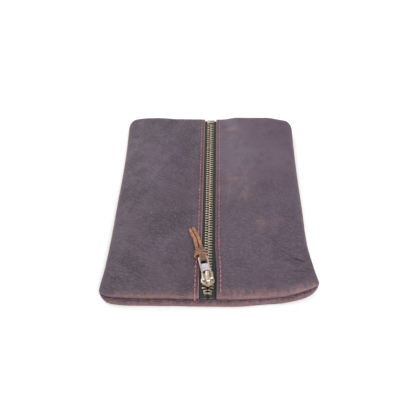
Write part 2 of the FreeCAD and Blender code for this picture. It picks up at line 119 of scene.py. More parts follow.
def along(points, y):
    """A smooth curve through (y, value) points, read at y."""
    ys, vs = np.array([p[0] for p in points], float), np.array([p[1] for p in points], float)
    slopes = np.gradient(vs, ys)
    y = np.clip(np.asarray(y, float), ys[0], ys[-1])
    i = np.clip(np.searchsorted(ys, y) - 1, 0, len(ys) - 2)
    h = ys[i + 1] - ys[i]
    t = (y - ys[i]) / h
    a, b = vs[i], vs[i + 1]
    return (
        a * (1 + 2 * t) * (1 - t) ** 2
        + b * t * t * (3 - 2 * t)
        + slopes[i] * h * t * (1 - t) ** 2
        - slopes[i + 1] * h * t * t * (1 - t)
    )


def waves(x, y, size, seed):
    """Gentle noise of about the given size across, from -1 to 1, as a few crossed sine waves."""
    rng = np.random.default_rng(seed)
    total = np.zeros(np.broadcast(x, y).shape)
    for _ in range(9):
        angle = rng.uniform(-math.pi, math.pi)
        k = 2 * math.pi / (size * rng.uniform(0.7, 1.6))
        bend = 0.6 * np.sin((x * math.sin(angle) - y * math.cos(angle)) * k * 0.5 + rng.uniform(0, 6))
        total += np.sin((x * math.cos(angle) + y * math.sin(angle)) * k + bend + rng.uniform(0, 6))
    return total / 4.5


def gap_half(y):
    """Half the gap between the two cut edges."""
    t = (GAP_SPREAD_FROM - np.asarray(y, float)) / (GAP_SPREAD_FROM - GAP_SPREAD_TO)
    return GAP_HALF + (GAP_NEAR_HALF - GAP_HALF) * smooth(t)


def half_width(side, y):
    """How far the side's fold is from the middle."""
    return along(SIDES[side], y)


# the creases of each flap as (from, to, width, height), where a height below 0 is a valley
CREASES = {
    -1: [
        ((-82, -76), (-58, -83), 2.2, -0.45),
        ((-80, -86), (-52, -90), 2.0, -0.3),
        ((-24, 94), (-10, 84), 3.2, -0.6),
        ((-60, 60), (-20, 40), 3.0, -0.25),
        ((-66, 46), (-14, 18), 2.6, -0.22),
        ((-78, -20), (-64, -44), 3.0, -0.3),
    ],
    1: [
        ((52, -52), (74, -60), 1.3, -0.8),
        ((54, -57), (77, -66), 1.4, -1.1),
        ((57, -63), (79, -73), 1.4, -1.0),
        ((60, -69), (80, -80), 1.6, 0.8),
        ((40, -82), (72, -88), 2.2, -0.8),
        ((30, -70), (58, -74), 2.6, -0.4),
        ((14, 88), (34, 73), 3.4, -0.45),
        ((20, 92), (40, 80), 3.4, 0.25),
    ],
}


# ---- mesh helpers -------------------------------------------------------------------------------------
def linked(mesh, material):
    """A mesh as a piece of the scene, with its first material."""
    mesh.shade_smooth()
    mesh.materials.append(material)
    piece = bpy.data.objects.new(mesh.name, mesh)
    bpy.context.scene.collection.objects.link(piece)
    return piece


def mesh_object(name, verts, faces, material):
    """A mesh piece from points in millimetres."""
    mesh = bpy.data.meshes.new(name)
    places = [tuple(v) for v in np.asarray(verts, float) * MM]
    mesh.from_pydata(places, [], [tuple(int(i) for i in f) for f in faces])
    mesh.validate()
    return linked(mesh, material)


def grid_faces(rows, cols, start=0, close_cols=False):
    """Quads over a grid of points stored row by row."""
    faces = []
    wide = cols if close_cols else cols - 1
    for r in range(rows - 1):
        for c in range(wide):
            d = (c + 1) % cols
            a = start + r * cols
            faces.append((a + c, a + d, a + cols + d, a + cols + c))
    return faces


def merged(piece, distance):
    """Welds points that lie together and turns the faces outwards."""
    bm = bmesh.new()
    bm.from_mesh(piece.data)
    for _ in range(2):  # one pass can leave a pair apart
        bmesh.ops.remove_doubles(bm, verts=bm.verts, dist=distance * MM)
    bmesh.ops.recalc_face_normals(bm, faces=bm.faces)
    bm.to_mesh(piece.data)
    bm.free()
    return piece


def applied(piece, kind, **settings):
    """Adds a modifier and applies it."""
    modifier = piece.modifiers.new(kind.lower(), kind)
    for key, value in settings.items():
        setattr(modifier, key, value)
    bpy.context.view_layer.update()
    graph = bpy.context.evaluated_depsgraph_get()
    mesh = bpy.data.meshes.new_from_object(piece.evaluated_get(graph))
    piece.modifiers.clear()
    piece.data = mesh
    return piece


def spline(points, count):
    """Evenly spaced points on a smooth curve through the given ones."""
    points = np.array(points, float)
    padded = np.vstack([2 * points[0] - points[1], points, 2 * points[-1] - points[-2]])
    fine = []
    for i in range(1, len(padded) - 2):
        a, b, c, d = padded[i - 1 : i + 3]
        for t in np.linspace(0, 1, 24, endpoint=False):
            bend, twist = 2 * a - 5 * b + 4 * c - d, 3 * b - a - 3 * c + d
            fine.append(0.5 * (2 * b + (c - a) * t + bend * t**2 + twist * t**3))
    fine = np.array(fine + [padded[-2]])
    far = np.concatenate([[0], np.cumsum(np.linalg.norm(np.diff(fine, axis=0), axis=1))])
    even = np.linspace(0, far[-1], count)
    return np.stack([np.interp(even, far, fine[:, k]) for k in range(fine.shape[1])], axis=1)


def rounded_section(wide, thick, corner):
    """A rounded rectangle's outline as (across, up) points."""
    outline = []
    points = 4  # round each corner
    for cx, cy, start in ((1, 1, 0), (-1, 1, 90), (-1, -1, 180), (1, -1, 270)):
        for i in range(points):
            a = math.radians(start + 90 * i / (points - 1))
            across = cx * (wide / 2 - corner) + corner * math.cos(a)
            up = cy * (thick / 2 - corner) + corner * math.sin(a)
            outline.append((across, up))
    return np.array(outline)


def swept(name, path, across, section, material, closed=False, change=None):
    """A piece whose section follows a path; change(share, section) may alter the section along the way."""
    path, across = np.array(path, float), np.array(across, float)
    if closed:
        ahead = np.roll(path, -1, axis=0) - np.roll(path, 1, axis=0)
    else:
        ahead = np.gradient(path, axis=0)
    ahead /= np.linalg.norm(ahead, axis=1)[:, None]
    across = np.broadcast_to(across, path.shape)
    across = across - ahead * np.sum(across * ahead, axis=1)[:, None]
    across = across / np.linalg.norm(across, axis=1)[:, None]
    up = np.cross(across, ahead)
    verts = []
    for i, place in enumerate(path):
        shape = change(i / (len(path) - 1), section) if change else section
        verts += [place + across[i] * a + up[i] * b for a, b in shape]
    wide = len(section)
    faces = grid_faces(len(path), wide, close_cols=True)
    if closed:
        last = (len(path) - 1) * wide
        faces += [(last + c, last + (c + 1) % wide, (c + 1) % wide, c) for c in range(wide)]
    else:
        faces += [tuple(range(wide))[::-1], tuple(range(len(verts) - wide, len(verts)))]
    piece = mesh_object(name, verts, faces, material)
    return merged(piece, 0.001)


def paint(piece, material, where):
    """Gives another material to the faces whose middle, in millimetres, and normal satisfy a test."""
    piece.data.materials.append(material)
    index = len(piece.data.materials) - 1
    for face in piece.data.polygons:
        if where(face.center / MM, face.normal):
            face.material_index = index


def joined(name, pieces):
    """Several pieces as one."""
    bpy.ops.object.select_all(action="DESELECT")
    for piece in pieces:
        piece.select_set(True)
    bpy.context.view_layer.objects.active = pieces[0]
    bpy.ops.object.join()
    pieces[0].name = name
    return pieces[0]


# ---- leather ------------------------------------------------------------------------------------------
def plan_ends(side, x):
    """Where the near and far ends of the pouch are at x: nearly straight, then rounded at the corners."""
    near_w, far_w = half_width(side, -92.0), half_width(side, 94.0)
    ax = np.abs(x)

    def corner(width, reach):
        t = np.clip((ax - (width - reach[0])) / reach[0], 0, 1)
        return reach[1] * (1 - np.sqrt(np.clip(1 - t**2, 0, 1)))

    near = NEAR_Y + corner(near_w, NEAR_CORNER[side])
    far = FAR_Y - corner(far_w, FAR_CORNER) + 0.35 * waves(x, 0 * x, 60, 5)
    if side > 0:
        near = near + RECESS * smooth((ax - 18) / 62)
    return near, far


def lower_reach(side, x, w):
    """How much nearer the near end's lower lip comes than its upper one, where the fold is at w."""
    ax = np.abs(x)
    fade = np.clip((w - ax) / 9, 0, 1) ** 0.7
    most = LOWER_LIP_REACH if side < 0 else LOWER_LIP_REACH - 0.9 * smooth((ax - 5) / 50)
    return most * fade


def front_height(side, x, y, w):
    """The front's outer face: flat along the zip, crowned across each flap, and folded down the side."""
    ax = np.abs(x)
    ends = 1 - smooth((np.abs(y + 4) - 34) / 62)
    crest = ZIP_TOP + CREST[side] * (0.12 + 0.88 * ends)
    crest = crest + 0.55 * waves(x, y, 60, 11 + side) * (0.35 + 0.65 * ends)
    far = smooth((y - 50) / 46)
    if side > 0:
        crest = crest + far * (2.3 - 1.2 * smooth((ax - 50) / 25))
        rise = smooth((ax - 9.5) / (CREST_X - 9.5 - 14 * far))
    else:
        crest = crest + far * (1.5 * smooth((ax - 30) / 22) - 0.5)
        rise = smooth((ax - 11.0) / (CREST_X - 11.0))
    inner = ZIP_TOP + (crest - ZIP_TOP) * rise
    rho = np.clip((ax - CREST_X) / (w - CREST_X), 0, 1)
    outer = FOLD_Z + (crest - FOLD_Z) * np.power(np.clip(1 - rho**3.4, 0, 1), 0.52)
    return np.where(ax < CREST_X, inner, outer)


def back_height(x, w):
    """The back's outer face: flat on the table, and curved up into the side folds."""
    rho = np.clip((np.abs(x) - (w - 13.0)) / 13.0, 0, 1)
    return FOLD_Z * (1 - np.power(np.clip(1 - rho**2.6, 0, 1), 0.55))


def stitch_x(y):
    """Where the stitch line is."""
    return gap_half(y) + STITCH_IN


def pebbles(x, y, size, seed):
    """Rounded pebbles of the hide's grain, 1 on their tops and 0 in the valleys between them."""
    rng = np.random.default_rng(seed)
    spots = rng.uniform(0.1, 0.9, (64, 64, 2))
    u, v = x / size, y / size
    i, j = np.floor(u).astype(int), np.floor(v).astype(int)
    first, second = np.full(u.shape, 9.0), np.full(u.shape, 9.0)
    for di in (-1, 0, 1):
        for dj in (-1, 0, 1):
            spot = spots[(i + di) % 64, (j + dj) % 64]
            d = np.hypot(i + di + spot[..., 0] - u, j + dj + spot[..., 1] - v)
            second = np.minimum(second, np.maximum(first, d))
            first = np.minimum(first, d)
    return smooth((second - first) / 0.45)


def wrinkles(side, x, y):
    """The hide's grain as shape: pebbles pulled long, strong on the left and soft at the far right."""
    turn = math.radians(-22 if side < 0 else 14)
    u = x * math.cos(turn) - y * math.sin(turn) + 1.3 * waves(x, y, 24, 51)
    v = x * math.sin(turn) + y * math.cos(turn) + 1.3 * waves(x, y, 24, 52)
    coarse = pebbles(u * 0.6, v, 2.2, 61 + side)
    long = pebbles(u * 0.32, v, 1.9, 71 + side)
    patch = 0.5 + 0.5 * waves(x, y, 42, 81 + side)
    share = np.clip(patch, 0, 1)
    if side > 0:
        share = share * (0.35 + 0.65 * smooth((45 - y) / 60))
        strength = 0.5 + 0.5 * smooth((30 - y) / 70)
    else:
        strength = 0.8 + 0.2 * patch
    strength = (0.85 + 0.5 * smooth((30 - y) / 90)) * strength
    return strength * (0.15 * coarse * (1 - 0.6 * share) + 0.20 * long * share)


def detail(side, x, y):
    """Small height changes on the front: the pulled-in stitch line, its puckers, creases and soft dents."""
    ax = np.abs(x)
    from_stitch = ax - stitch_x(y)
    line = np.exp(-((from_stitch / 0.85) ** 2))
    hole = np.cos(np.pi * (y / STITCH_PITCH)) ** 8
    dz = -0.22 * line * (0.55 + 0.45 * hole)
    pucker = 1 + 0.6 * np.sin(2 * np.pi * y / STITCH_PITCH)
    dz += 0.10 * np.exp(-(((from_stitch - 2.6) / 1.5) ** 2)) * pucker
    cut = ax - gap_half(y)
    dz -= BEVEL_DEEP[side] * np.clip(1 - cut / BEVEL[side], 0, 1) + 0.12 * np.exp(-((cut / 0.7) ** 2))
    inside = smooth((ax - 12) / 16)
    dz += 0.20 * waves(x, y, 17, 21 + side) * inside
    dz += wrinkles(side, x, y) * smooth((from_stitch - 1.2) / 3.0)
    if side > 0:
        dz -= 2.4 * np.exp(-(((x - 68) / 13) ** 2) - ((y + 63) / 9) ** 2)
    for start, end, wide, deep in CREASES[side]:
        dz += crease(x, y, start, end, wide, deep)
    return dz


def crease(x, y, a, b, wide, deep):
    """A soft valley, or a ridge where deep is above 0, from a to b."""
    ax, ay = a
    dx, dy = b[0] - ax, b[1] - ay
    t = np.clip(((x - ax) * dx + (y - ay) * dy) / (dx * dx + dy * dy), 0, 1)
    off = np.hypot(x - ax - t * dx, y - ay - t * dy)
    return deep * np.exp(-((off / wide) ** 2)) * np.sin(np.pi * np.clip(0.15 + 0.85 * t, 0, 1)) ** 0.7


def columns():
    """How far across each column lies: from the cut edge to the crest, then on to the side fold."""
    edge = np.array([0, 0.18, 0.35, 0.75, 0.95])
    seam = np.arange(1.2, 6.7, 0.35)
    flat = np.linspace(7.0, CREST_X - GAP_HALF, 38)
    u = np.linspace(0, 1, 48)[1:]
    return np.concatenate([edge, seam, flat]), 1 - (1 - u) ** 2.0


def column_x(side, inner, outer, y, w):
    """The x of every column at y: the inner ones run from the cut edge, the outer ones share the rest."""
    gap = gap_half(y)
    stretch = (CREST_X - gap) / (CREST_X - GAP_HALF)
    first = gap[:, None] + inner[None, :] * (1 + (stretch[:, None] - 1) * smooth((inner[None, :] - 6.6) / 20))
    rest = CREST_X + (w[:, None] - CREST_X) * outer[None, :]
    return side * np.concatenate([first, rest], axis=1)


def flap_points(side, front):
    """One half of the wrap between its end lips, as rows of points: the front or the back."""
    inner, outer = columns()
    t = np.linspace(0, 1, ROWS)
    y0 = -99 + 198 * t
    w = half_width(side, y0)
    x = column_x(side, inner, outer, y0, w)
    near, far = plan_ends(side, x)
    start, end = near + LIP, far - LIP
    y = start + (end - start) * t[:, None]
    w_full = half_width(side, y)
    stretched = CREST_X + (np.abs(x) - CREST_X) * (w_full - CREST_X) / (w[:, None] - CREST_X)
    x = np.where(np.abs(x) > CREST_X, side * stretched, x)
    if front:
        z = front_height(side, x, y, w_full)
        z = z + detail(side, x, y) * smooth((w_full - np.abs(x)) / 5.0)
    else:
        z = back_height(x, w_full)
        y = y - lower_reach(side, x, w_full) * (1 - t[:, None]) ** 12
    return x, y, z, start[0], end[-1]


def lifted(side, x, y):
    """How far the near right corner curls up off the table."""
    if side < 0:
        return 0 * x
    return EAR_LIFT * smooth((np.abs(x) - 46) / 34) * smooth((-64 - y) / 30)


def lip_rows(side, x, edge_y, seam_y, z, sign, front):
    """The rows that roll round an end's lip and into the groove, with sign -1 at the near end."""
    rows = []
    above = 1 if front else -1
    share = np.clip(np.abs(z - FOLD_Z) / 5.2, 0, 1)
    shut = FOLD_Z + above * 0.45 * share
    half, mid = np.abs(z - shut) / 2, (z + shut) / 2
    swell = 1 + 0.10 * waves(x, 0 * x + 40 * sign, 26, 31 + side + (3 if front else 0))
    for i in range(1, ROLL + 1):
        a = math.pi * i / ROLL
        out = LIP * math.sin(a) ** 0.85 * swell * share
        rows.append((x, edge_y + sign * out, mid + above * half * math.cos(a)))
    bottom = seam_y - sign * GROOVE * np.clip((half_width(side, seam_y) - np.abs(x)) / 10, 0, 1)
    for deep, close in ((0.25, 0.8), (0.6, 0.5), (1.0, 0.0)):
        rows.append((x, edge_y + (bottom - edge_y) * deep, FOLD_Z + (shut - FOLD_Z) * close))
    return rows


def wrap_half(side, front):
    """All the rows of one half of the front or the back, from one groove round to the other."""
    x, y, z, start, end = flap_points(side, front)
    near_rows = lip_rows(side, x[0], y[0], start, z[0], -1, front)
    far_rows = lip_rows(side, x[-1], y[-1], end, z[-1], 1, front)
    x = np.array([r[0] for r in near_rows[::-1]] + list(x) + [r[0] for r in far_rows])
    y = np.array([r[1] for r in near_rows[::-1]] + list(y) + [r[1] for r in far_rows])
    z = np.array([r[2] for r in near_rows[::-1]] + list(z) + [r[2] for r in far_rows])
    if front and side > 0:
        opening = EAR_OPENING * smooth((x - 52) / 24) * smooth((-82 - y) / 14)
        opening = opening * smooth((half_width(1, y) - 0.2 - x) / 5)
        z = z + opening * smooth((z - FOLD_Z) / 0.6)
    z = z + lifted(side, x, y)
    return np.stack([x, y, z], axis=-1)


def hide_thickness(piece):
    """A vertex group that thins the hide where it folds too tightly for its whole thickness."""
    group = piece.vertex_groups.new(name="thickness")
    places = np.array([tuple(v.co) for v in piece.data.vertices]) / MM
    for side in (-1, 1):
        chosen = np.where(places[:, 0] * side > 0)[0]
        x, y = places[chosen, 0], places[chosen, 1]
        near, far = plan_ends(side, x)
        from_fold = half_width(side, y) - np.abs(x)
        from_end = np.minimum(y - near, far - y)
        share = 0.07 + 0.93 * smooth(np.maximum(from_fold / 13, from_end / 22))
        share = share * (0.5 + 0.5 * smooth(from_fold / 12))
        for index, weight in zip(chosen, share):
            group.add([int(index)], float(weight), "REPLACE")
    middle = [int(i) for i in np.where(np.abs(places[:, 0]) < 1e-6)[0]]
    group.add(middle, 1.0, "REPLACE")
    return group.name


def leather(outside, cut):
    """The wrap: two flaps and a back, welded down the folds and in the grooves, with the hide's thickness."""
    parts, faces, count = [], [], 0
    halves = {(side, front): wrap_half(side, front) for side in (-1, 1) for front in (True, False)}
    for (side, front), grid in halves.items():
        rows, cols = grid.shape[:2]
        parts.append(grid.reshape(-1, 3))
        faces += grid_faces(rows, cols, count)
        count += rows * cols
    # the strip of the back between the two halves, under the zip
    left, right = halves[-1, False][:, 0], halves[1, False][:, 0]
    strip = np.stack([left + (right - left) * s for s in np.linspace(0, 1, 9)], axis=1)
    parts.append(strip.reshape(-1, 3))
    faces += grid_faces(strip.shape[0], strip.shape[1], count)
    piece = mesh_object("leather_wrap", np.concatenate(parts), faces, outside)
    merged(piece, 0.02)
    piece.data.materials.append(cut)
    group = hide_thickness(piece)
    piece = applied(
        piece,
        "SOLIDIFY",
        thickness=LEATHER * MM,
        offset=-1,
        use_rim=True,
        material_offset_rim=1,
        vertex_group=group,
    )
    piece.data.shade_smooth()
    for face in piece.data.polygons:
        x, y, z = face.center / MM
        side = 1 if x > 0 else -1
        if z > ZIP_TOP - LEATHER - 0.3 and abs(x) - float(gap_half(y)) < BEVEL[side] - 0.02:
            face.material_index = 1
    return piece, {side: halves[side, True][:, STITCH_COLUMN] for side in (-1, 1)}


# ---- materials ----------------------------------------------------------------------------------------
class Nodes:
    """A short way to write a material's node tree."""

    def __init__(self, name):
        self.material = bpy.data.materials.new(name)
        self.material.use_nodes = True
        self.tree = self.material.node_tree
        self.tree.nodes.clear()
        self.out = self.tree.nodes.new("ShaderNodeOutputMaterial")
        self.shader = self.tree.nodes.new("ShaderNodeBsdfPrincipled")
        self.tree.links.new(self.shader.outputs[0], self.out.inputs[0])

    def node(self, kind, inputs=None, **settings):
        node = self.tree.nodes.new("ShaderNode" + kind)
        for key, value in settings.items():
            setattr(node, key, value)
        for key, value in (inputs or {}).items():
            self.put(node.inputs[key], value)
        return node

    def put(self, socket, value):
        """Links a socket to another one, or gives it a value; None leaves it as it is."""
        if isinstance(value, bpy.types.NodeSocket):
            self.tree.links.new(value, socket)
        elif value is not None:
            socket.default_value = value

    def stretched(self, at, scale, turn=0.0):
        """A place scaled along each axis and turned about Z, in radians."""
        return self.node("Mapping", {"Vector": at, "Scale": scale, "Rotation": (0, 0, turn)}).outputs[0]

    def place(self, turn=0.0):
        """Object coordinates in millimetres, turned about Z."""
        return self.stretched(self.node("TexCoord").outputs["Object"], (1000, 1000, 1000), turn)

    def noise(self, at, scale, detail, rough, distortion=0.0):
        settings = {"Vector": at, "Scale": scale, "Detail": detail}
        settings |= {"Roughness": rough, "Distortion": distortion}
        return self.node("TexNoise", settings).outputs["Fac"]

    def edges(self, at, scale):
        """How far a place is from the edges of the cells that it lies among."""
        settings = {"Vector": at, "Scale": scale}
        return self.node("TexVoronoi", settings, feature="DISTANCE_TO_EDGE").outputs["Distance"]

    def ribs(self, at, scale, distortion, direction):
        settings = {"Vector": at, "Scale": scale, "Distortion": distortion, "Detail": 1.0}
        return self.node("TexWave", settings, bands_direction=direction).outputs["Fac"]

    def ramp(self, value, low, high, out_low=0.0, out_high=1.0):
        """A smooth step from out_low, where the value is low, to out_high, where it's high."""
        settings = {"Value": value, "From Min": low, "From Max": high, "To Min": out_low, "To Max": out_high}
        return self.node("MapRange", settings, interpolation_type="SMOOTHSTEP").outputs[0]

    def math(self, kind, a, b=None):
        node = self.node("Math", operation=kind)
        for socket, value in zip(node.inputs, (a, b)):
            self.put(socket, value)
        return node.outputs[0]

    def mix(self, share, a, b):
        """Colour a, and as much of colour b as the share says."""
        node = self.node("Mix", data_type="RGBA", blend_type="MIX")
        for index, value in ((0, share), (6, a), (7, b)):  # the colour mix's own sockets
            self.put(node.inputs[index], value)
        return node.outputs[2]

    def bump(self, height, strength, distance, under=None):
        """A bump of the given height in metres, over another one if there is one under it."""
        settings = {"Height": height, "Strength": strength, "Distance": distance, "Normal": under}
        return self.node("Bump", settings).outputs[0]

    def finish(self, **sockets):
        """Sets the shader's sockets and gives the material."""
        for key, value in sockets.items():
            self.put(self.shader.inputs[key.replace("_", " ")], value)
        return self.material


def rgb(r, g, b):
    """A linear colour from 0 to 255 screen values."""
    linear = [((v / 255 + 0.055) / 1.055) ** 2.4 if v > 10 else v / 255 / 12.92 for v in (r, g, b)]
    return tuple(linear) + (1.0,)


def gauss(n, at, centre, size):
    """A soft spot, 1 at its centre and 0 at its size along each axis, in millimetres."""
    moved = n.node("VectorMath", {0: at, 1: centre}, operation="SUBTRACT").outputs[0]
    inverse = tuple(1 / s for s in size)
    scaled = n.node("VectorMath", {0: moved, 1: inverse}, operation="MULTIPLY").outputs[0]
    distance = n.node("VectorMath", {0: scaled}, operation="LENGTH").outputs["Value"]
    return n.ramp(distance, 1.0, 0.0)


def hide(name, base, light, dark, worn):
    """Waxed pull-up leather: a pebbled grain with painted shade in its valleys, rubbed to reddish tan where
    it folds.
    """
    n = Nodes(name)
    at = n.place()
    place = n.node("SeparateXYZ", {0: at}).outputs
    cloud = n.noise(at, 0.018, 3, 0.5, 0.3)
    mottle = n.noise(at, 0.10, 4, 0.6, 0.2)
    colour = n.mix(n.ramp(cloud, 0.34, 0.68, 0.0, 0.7), base, light)
    colour = n.mix(n.ramp(mottle, 0.45, 0.75, 0.0, 0.35), colour, dark)
    # grain: cells pulled a little long across the hide, bent by noise, finer and fainter at the far right
    warp = n.node("TexNoise", {"Vector": at, "Scale": 0.35, "Detail": 2.0}).outputs["Color"]
    warp = n.node("VectorMath", {0: warp, "Scale": 1.6}, operation="SCALE").outputs[0]
    bent = n.node("VectorMath", {0: at, 1: warp}, operation="ADD").outputs[0]
    pebbles = n.edges(n.stretched(bent, (0.42, 1.0, 0.8), 0.22), 0.42)
    grit = n.edges(bent, 0.75)
    right = n.ramp(place[0], -4.0, 10.0)
    calm = n.math("MULTIPLY", right, n.ramp(place[1], -20.0, 50.0, 0.25, 0.8))
    patchy = n.ramp(n.noise(at, 0.04, 3, 0.6), 0.36, 0.62, 0.55, 1.0)
    strong = n.math("MULTIPLY", patchy, n.math("SUBTRACT", 1.0, calm))
    valleys = n.math("MINIMUM", n.ramp(pebbles, 0.0, 0.24), n.ramp(grit, 0.0, 0.18, 0.45, 1.0))
    height = n.math("MULTIPLY", valleys, strong)
    fine = n.noise(at, 2.4, 4, 0.6)
    # painted shade: the grain's valleys are darkened in colour, more towards the near end
    deep = n.math("MULTIPLY", strong, n.ramp(place[1], 70.0, -60.0, 0.6, 0.8))
    shade = n.math("MULTIPLY", n.math("SUBTRACT", 1.0, valleys), deep)
    colour = n.mix(shade, colour, dark)
    # rubbed where it's folded: down the sides, along the near lips and, less, at the far end
    normal = n.node("SeparateXYZ", {0: n.node("NewGeometry").outputs["Normal"]})
    upright = n.ramp(n.math("ABSOLUTE", normal.outputs[2]), 0.88, 0.25)
    rub = n.math("MULTIPLY", upright, n.ramp(n.noise(at, 0.10, 5, 0.7), 0.32, 0.62, 0.35, 1.0))
    wide = n.math("ADD", n.ramp(place[0], 0.0, 14.0, -94.5, -90.5), n.ramp(place[0], 54.0, 81.0, 0.0, 8.0))
    near = n.ramp(n.math("SUBTRACT", place[1], wide), 0.0, -6.0)
    streaks = n.noise(n.stretched(at, (1.0, 0.22, 0.5)), 0.42, 5, 0.7)
    band = n.math("MULTIPLY", near, n.ramp(streaks, 0.34, 0.66, 0.05, 0.85))
    rub = n.math("MAXIMUM", rub, n.math("MAXIMUM", band, n.ramp(place[1], 94.0, 99.0, 0.0, 0.6)))
    colour = n.mix(n.math("MULTIPLY", rub, 0.75), colour, worn)
    patch = n.ramp(n.noise(at, 0.11, 4, 0.65), 0.40, 0.66)
    spots = n.math("MULTIPLY", gauss(n, at, (24.0, 10.0, 15.0), (22.0, 30.0, 30.0)), patch)
    low = n.math("MULTIPLY", gauss(n, at, (40.0, -30.0, 15.0), (24.0, 18.0, 30.0)), patch)
    streak = gauss(n, at, (20.0, 83.0, 14.0), (12.0, 5.0, 20.0))
    fainter = n.math("MAXIMUM", n.math("MULTIPLY", low, 0.6), n.math("MULTIPLY", streak, 0.75))
    tan = n.math("MAXIMUM", spots, fainter)
    colour = n.mix(n.math("MULTIPLY", tan, 0.5), colour, worn)
    # painted shade: dark lines in the creases where the hide buckles at the right fold, near the open corner
    lines = n.noise(n.stretched(bent, (0.16, 1.0, 0.3), 0.36), 0.42, 3, 0.6)
    corner = gauss(n, at, (69.0, -71.0, 12.0), (18.0, 13.0, 20.0))
    crease_shade = n.math("MULTIPLY", corner, n.ramp(lines, 0.48, 0.60))
    colour = n.mix(n.ramp(crease_shade, 0.0, 0.55, 0.0, 0.85), colour, dark)
    bump = n.bump(height, 0.9, 0.0006)
    bump = n.bump(fine, 0.25, 0.00012, bump)
    rough = n.ramp(n.noise(at, 0.08, 4, 0.6), 0.3, 0.7, 0.54, 0.64)
    return n.finish(Base_Color=colour, Roughness=rough, Normal=bump, Specular_IOR_Level=0.45)


def cut_hide():
    """The raw cut edge of the hide: pale tan fibres, streaked with darker tan."""
    n = Nodes("cut_edge")
    at = n.place()
    fibre = n.noise(n.stretched(at, (1.0, 0.4, 3.0)), 1.5, 5, 0.7)
    colour = n.mix(n.ramp(fibre, 0.3, 0.7), rgb(150, 116, 98), rgb(112, 84, 74))
    return n.finish(Base_Color=colour, Roughness=0.85, Normal=n.bump(fibre, 0.5, 0.0002))


def tape_cloth():
    """Navy zip tape: fine ribs along the zip, crossed by the weave's picks."""
    n = Nodes("zip_tape_cloth")
    at = n.place()
    weave = n.math("MULTIPLY", n.ribs(at, 0.42, 0.6, "X"), n.ribs(at, 0.62, 0.4, "Y"))
    colour = n.mix(n.ramp(weave, 0.0, 0.8), rgb(9, 11, 16), rgb(27, 30, 38))
    return n.finish(Base_Color=colour, Roughness=0.82, Normal=n.bump(weave, 0.6, 0.00015), Sheen_Weight=0.25)


def metal(name, bright, dark, rough, soil, painted_shade_spots=(), painted_side_shade=0.0):
    """Antiqued brass: bright where it's rubbed, with painted shade on faces that don't look up, and painted
    shade spots where given.
    """
    n = Nodes(name)
    at = n.place()
    patches = n.noise(at, 0.55, 4, 0.6)
    scratches = n.noise(n.stretched(at, (2.0, 0.25, 1.0), 0.5), 2.2, 3, 0.7)
    edges = n.ramp(n.node("NewGeometry").outputs["Pointiness"], 0.47, 0.53)
    share = n.math("MULTIPLY", n.ramp(patches, 0.35, 0.70), soil)
    colour = n.mix(share, bright, dark)
    colour = n.mix(n.math("MULTIPLY", edges, 0.35), colour, bright)
    # painted shade: faces that don't look up are darkened, so the sides and gaps read as shaded
    if painted_side_shade:
        upward = n.node("SeparateXYZ", {0: n.node("NewGeometry").outputs["Normal"]}).outputs[2]
        colour = n.mix(n.ramp(n.math("ABSOLUTE", upward), 0.9, 0.4, 0.0, painted_side_shade), colour, rgb(30, 25, 21))
    # painted shade spots where given: dark patches that stand for shade and shadow
    for centre, size in painted_shade_spots:
        spot = gauss(n, at, centre, size)
        colour = n.mix(n.ramp(spot, 0.05, 0.45, 0.0, 0.92), colour, rgb(34, 28, 24))
    roughness = n.ramp(scratches, 0.3, 0.7, rough - 0.06, rough + 0.12)
    bump = n.bump(scratches, 0.08, 0.00005)
    return n.finish(Base_Color=colour, Metallic=1.0, Roughness=roughness, Normal=bump)


def steel():
    """Spring steel of the locking pin."""
    n = Nodes("pin_steel")
    at = n.place()
    grain = n.noise(n.stretched(at, (3.0, 0.3, 1.0)), 2.0, 3, 0.6)
    colour = n.mix(n.ramp(grain, 0.3, 0.7), rgb(150, 148, 145), rgb(120, 118, 116))
    return n.finish(Base_Color=colour, Metallic=1.0, Roughness=0.35, Normal=n.bump(grain, 0.1, 0.00005))


def thread(name, light, dark, soiled):
    """Waxed dusty-red thread, cleaner near the zip's mouth."""
    n = Nodes(name)
    at = n.place()
    fuzz = n.noise(at, 3.0, 3, 0.6)
    patch = n.noise(at, 0.09, 3, 0.6)
    y = n.node("SeparateXYZ", {0: at}).outputs[1]
    worn = n.math("MULTIPLY", n.ramp(patch, 0.36, 0.62), n.ramp(y, -92.0, -60.0, 0.15, 0.85))
    colour = n.mix(n.ramp(fuzz, 0.3, 0.7), light, dark)
    colour = n.mix(worn, colour, soiled)
    return n.finish(Base_Color=colour, Roughness=0.6, Normal=n.bump(fuzz, 0.3, 0.0001), Sheen_Weight=0.2)


def strap_hide(name, light, dark):
    """The thong's hide: fibres along it, cloudy where fingers have waxed it."""
    n = Nodes(name)
    along = 0.23  # the way that the strap runs, in radians
    at = n.place(along)
    fibre = n.noise(n.stretched(at, (2.6, 0.7, 2.6)), 1.2, 5, 0.7)
    cloud = n.noise(at, 0.45, 3, 0.6)
    colour = n.mix(n.ramp(cloud, 0.35, 0.68), light, dark)
    colour = n.mix(n.ramp(fibre, 0.42, 0.72, 0.0, 0.6), colour, dark)
    bump = n.bump(fibre, 0.5, 0.00016)
    return n.finish(Base_Color=colour, Roughness=0.7, Normal=bump, Specular_IOR_Level=0.35)


def floor_paint():
    """Plain pale paper."""
    n = Nodes("floor_paper")
    faint = n.noise(n.place(), 0.01, 2, 0.5)
    colour = n.mix(n.ramp(faint, 0.3, 0.7), (0.90, 0.90, 0.90, 1), (0.92, 0.92, 0.92, 1))
    return n.finish(Base_Color=colour, Roughness=0.9)


# painted shade on the slider's top plate, as (place, reach): under the yoke, and painted shadows by the
# crossbar's ends
SLIDER_PAINTED_SHADE = [
    ((0.0, -83.0, 12.9), (3.1, 6.4, 2.0)),
    ((3.7, -85.9, 12.9), (0.9, 1.0, 1.6)),
    ((-3.5, -86.6, 12.9), (0.8, 0.9, 1.6)),
]


